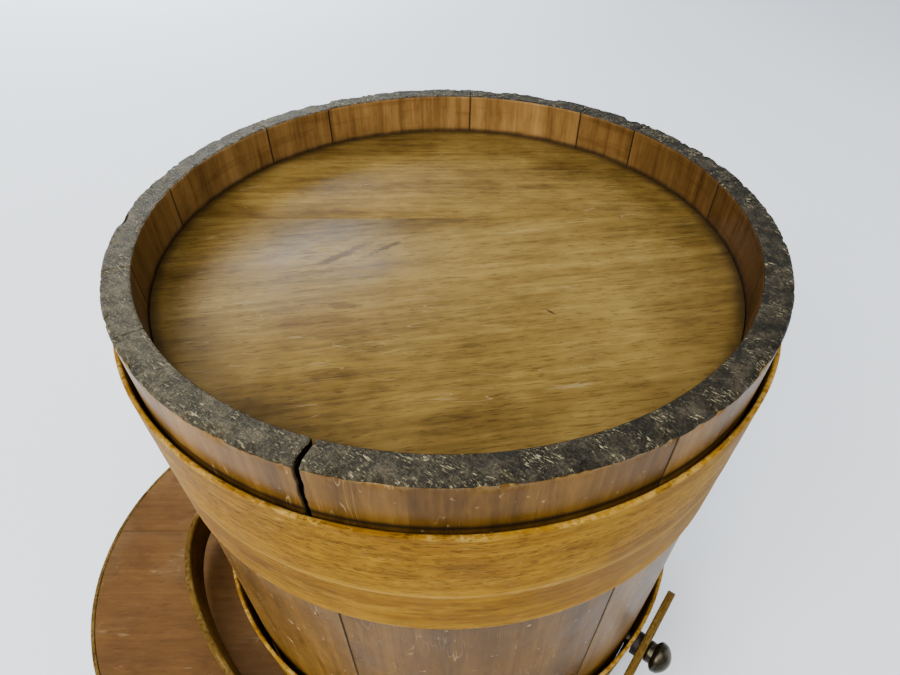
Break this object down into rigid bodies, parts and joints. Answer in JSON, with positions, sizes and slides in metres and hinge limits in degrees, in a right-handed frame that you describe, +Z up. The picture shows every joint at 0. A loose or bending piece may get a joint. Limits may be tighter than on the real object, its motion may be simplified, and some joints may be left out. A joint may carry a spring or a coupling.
{
  "type": "butter churn",
  "caption": "Stave-built wooden butter churn, stood upside down on its banded lid, with bentwood hoops and a swinging bentwood bail handle.",
  "frame": {"origin": "on the surface under the lid, below the middle of the outline's bounding box", "axes": "+Z up, from the lid to the upturned bottom head; X along the bail's pins; the bail hangs towards -Y"},
  "size_m": [0.4028, 0.3768, 0.326],
  "materials": {
    "stave_wood": "old varnish, satin, worn grey at the chime",
    "head_wood": "old varnish, satin",
    "hoop_wood": "golden varnish, scuffed",
    "lid_wood": "matte brown stain",
    "lid_band_wood": "worn varnish",
    "bail_wood": "worn varnish",
    "iron_fittings": "dark forged iron",
    "pin_metal": "dark patina with a soft shine"
  },
  "bodies": {
    "lid": {"lid_board_1": "lid_wood", "lid_board_2": "lid_wood", "lid_board_3": "lid_wood", "lid_band": "lid_band_wood", "lid_band_tacks": "iron_fittings"},
    "barrel": {"stave_01": "stave_wood", "stave_02": "stave_wood", "stave_03": "stave_wood", "stave_04": "stave_wood", "stave_05": "stave_wood", "stave_06": "stave_wood", "stave_07": "stave_wood", "stave_08": "stave_wood", "stave_09": "stave_wood", "stave_10": "stave_wood", "stave_11": "stave_wood", "stave_12": "stave_wood", "head_board_1": "head_wood", "head_board_2": "head_wood", "bottom_hoop": "hoop_wood", "bottom_hoop_tacks": "iron_fittings", "top_hoop": "hoop_wood", "top_hoop_tacks": "iron_fittings", "bail_pin_right": "pin_metal", "bail_pin_left": "pin_metal", "pin_rove_right": "iron_fittings", "pin_rove_left": "iron_fittings", "pin_spacer_right": "iron_fittings", "pin_spacer_left": "iron_fittings"},
    "bail": {"bail": "bail_wood"}
  },
  "joints": [
    {"name": "barrel_lift", "type": "slide", "parent": "lid", "child": "barrel", "axis": [0, 0, 1], "range_m": [0, 0.3]},
    {"name": "bail_swing", "type": "hinge", "parent": "barrel", "child": "bail", "pos_m": [0.03265, 0.03542, 0.074], "axis": [-1, 0, 0], "range_deg": [0, 31]}
  ]
}
